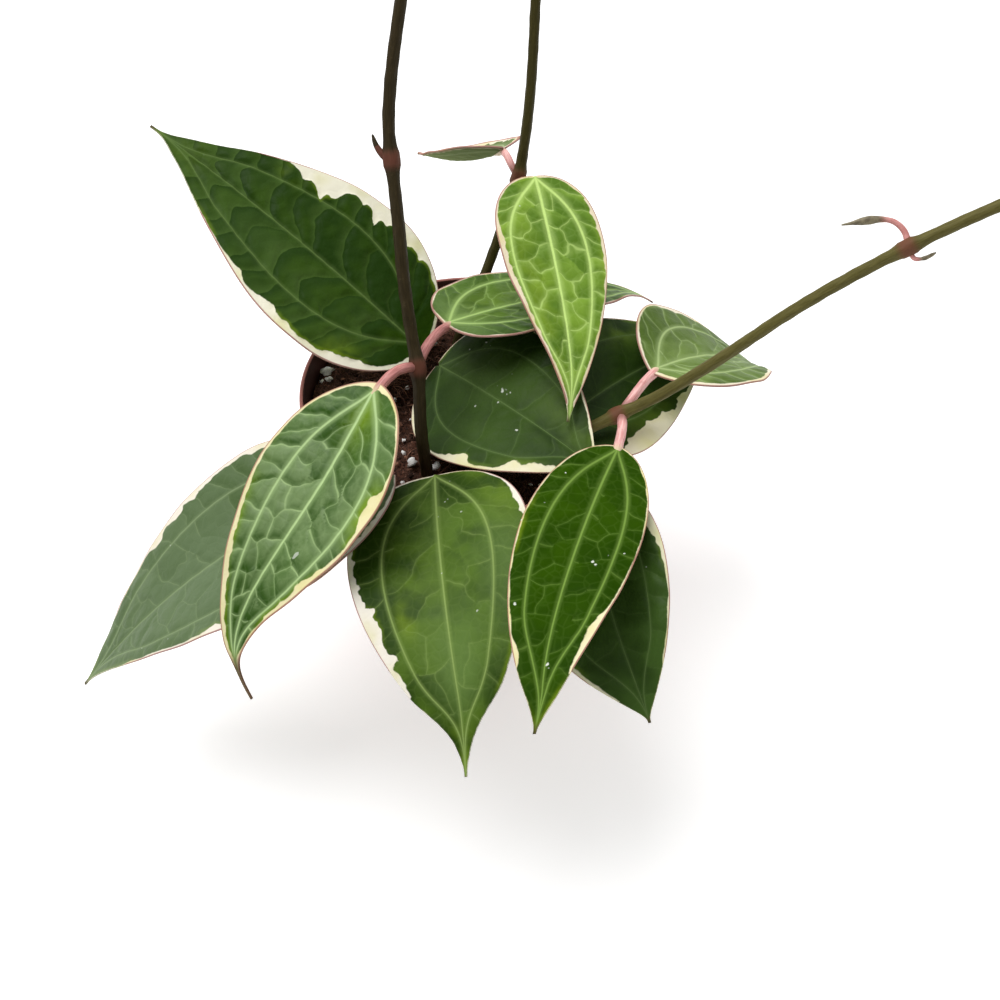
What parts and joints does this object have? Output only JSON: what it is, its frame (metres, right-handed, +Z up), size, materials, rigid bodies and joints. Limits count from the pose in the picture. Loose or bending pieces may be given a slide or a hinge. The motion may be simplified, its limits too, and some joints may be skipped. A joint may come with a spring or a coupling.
{
  "type": "potted climbing plant",
  "caption": "Young climbing plant with large pointed cream-edged green leaves and long bare stems, rooted in dark soil in a thin tapered nursery pot.",
  "frame": {"origin": "centre of the pot's flat underside", "axes": "+Z up along the pot's axis, -Y towards the side that the picture was taken from, +X to the right in the picture"},
  "size_m": [0.2657, 0.2237, 0.2242],
  "materials": {
    "pot": "satin",
    "soil": "matte",
    "stem_brown": "satin",
    "stem_olive": "satin",
    "stem_green": "satin",
    "leaf_dark": "satin",
    "leaf_mid": "satin",
    "leaf_lime": "satin",
    "leaf_bright": "satin",
    "leaf_grey": "satin",
    "young_leaf": "satin"
  },
  "bodies": {
    "root": {"pot": "pot", "soil": "soil", "stem_brown": "stem_brown", "stem_olive": "stem_olive", "stem_green": "stem_green", "leaf_01": "leaf_dark", "leaf_02": "leaf_mid", "leaf_03": "leaf_lime", "leaf_04": "leaf_grey", "leaf_05": "leaf_dark", "leaf_06": "leaf_bright", "leaf_07": "leaf_grey", "leaf_08": "leaf_grey", "leaf_09": "leaf_mid", "leaf_10": "leaf_dark", "leaf_11": "leaf_dark", "leaf_12": "leaf_grey", "young_leaf_long": "young_leaf", "young_leaf_short": "young_leaf"}
  },
  "joints": []
}
